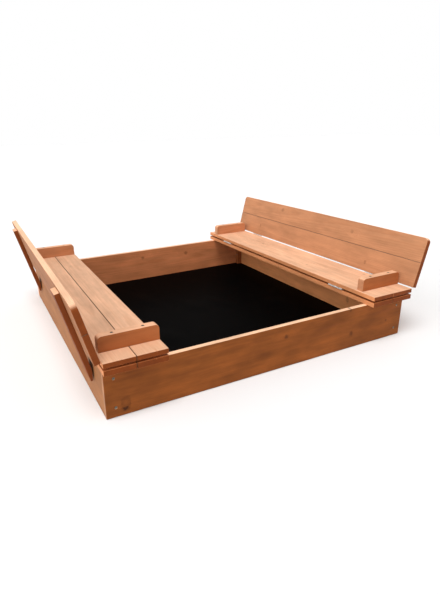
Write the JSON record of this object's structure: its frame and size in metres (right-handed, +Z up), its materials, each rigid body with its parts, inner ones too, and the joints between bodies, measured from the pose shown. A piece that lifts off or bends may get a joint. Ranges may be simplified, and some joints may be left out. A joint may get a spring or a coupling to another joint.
{
  "type": "sandbox with folding cover",
  "caption": "Square wooden sandbox on a ground sheet; its plank cover folds back on both sides into benches with armrests and leaning backrests.",
  "frame": {"origin": "middle of the footprint on the ground, at the underside of the ground sheet", "axes": "+X to the right-hand bench, +Y to the rear, +Z up; the front board faces -Y"},
  "size_m": [1.3848, 1.264, 0.3924],
  "materials": {
    "box_board_wood": "stained, satin",
    "bench_plank_wood": "stained, satin",
    "cleat_wood": "stained, satin",
    "post_wood": "sawn, stained",
    "zinc_steel": "zinc plated",
    "screw_steel": "zinc plated",
    "woven_sheet": "matt, woven"
  },
  "bodies": {
    "box": {"front_board": "box_board_wood", "rear_board": "box_board_wood", "left_side_board": "box_board_wood", "right_side_board": "box_board_wood", "front_left_post": "post_wood", "front_right_post": "post_wood", "rear_left_post": "post_wood", "rear_right_post": "post_wood", "ground_sheet": "woven_sheet", "left_fixed_inner_plank": "bench_plank_wood", "left_fixed_outer_plank": "bench_plank_wood", "right_fixed_inner_plank": "bench_plank_wood", "right_fixed_outer_plank": "bench_plank_wood", "post_screws": "screw_steel", "fixed_plank_screws": "screw_steel", "sheet_staples": "screw_steel", "left_inner_hinge_fixed_leaves": "zinc_steel", "right_inner_hinge_fixed_leaves": "zinc_steel", "fixed_leaf_screws": "screw_steel"},
    "left_seat": {"left_seat_inner_plank": "bench_plank_wood", "left_seat_outer_plank": "bench_plank_wood", "left_front_armrest": "cleat_wood", "left_rear_armrest": "cleat_wood", "left_armrest_screws": "screw_steel", "left_inner_hinge_seat_leaves": "zinc_steel", "left_inner_hinge_pins": "zinc_steel", "left_outer_hinge_seat_leaves": "zinc_steel", "left_outer_hinge_pins": "zinc_steel", "left_seat_leaf_screws": "screw_steel"},
    "left_backrest": {"left_backrest_lower_plank": "bench_plank_wood", "left_backrest_upper_plank": "bench_plank_wood", "left_front_brace": "cleat_wood", "left_rear_brace": "cleat_wood", "left_brace_screws": "screw_steel", "left_outer_hinge_backrest_leaves": "zinc_steel", "left_backrest_leaf_screws": "screw_steel"},
    "right_seat": {"right_seat_inner_plank": "bench_plank_wood", "right_seat_outer_plank": "bench_plank_wood", "right_front_armrest": "cleat_wood", "right_rear_armrest": "cleat_wood", "right_armrest_screws": "screw_steel", "right_inner_hinge_seat_leaves": "zinc_steel", "right_inner_hinge_pins": "zinc_steel", "right_outer_hinge_seat_leaves": "zinc_steel", "right_outer_hinge_pins": "zinc_steel", "right_seat_leaf_screws": "screw_steel"},
    "right_backrest": {"right_backrest_lower_plank": "bench_plank_wood", "right_backrest_upper_plank": "bench_plank_wood", "right_front_brace": "cleat_wood", "right_rear_brace": "cleat_wood", "right_brace_screws": "screw_steel", "right_outer_hinge_backrest_leaves": "zinc_steel", "right_backrest_leaf_screws": "screw_steel"}
  },
  "joints": [
    {"name": "left_seat_fold", "type": "hinge", "parent": "box", "child": "left_seat", "pos_m": [-0.411, 0, 0.182], "axis": [0, 1, 0], "range_deg": [0, 180]},
    {"name": "left_backrest_fold", "type": "hinge", "parent": "left_seat", "child": "left_backrest", "pos_m": [-0.6125, 0, 0.2015], "axis": [0, -1, 0], "range_deg": [0, 75.5]},
    {"name": "right_seat_fold", "type": "hinge", "parent": "box", "child": "right_seat", "pos_m": [0.411, 0, 0.182], "axis": [0, -1, 0], "range_deg": [0, 180]},
    {"name": "right_backrest_fold", "type": "hinge", "parent": "right_seat", "child": "right_backrest", "pos_m": [0.6125, 0, 0.2015], "axis": [0, 1, 0], "range_deg": [0, 75.5]}
  ],
  "couplings": [
    {"joint": "left_backrest_fold", "follows": "left_seat_fold", "ratio": 0.41944},
    {"joint": "right_backrest_fold", "follows": "right_seat_fold", "ratio": 0.41944}
  ]
}
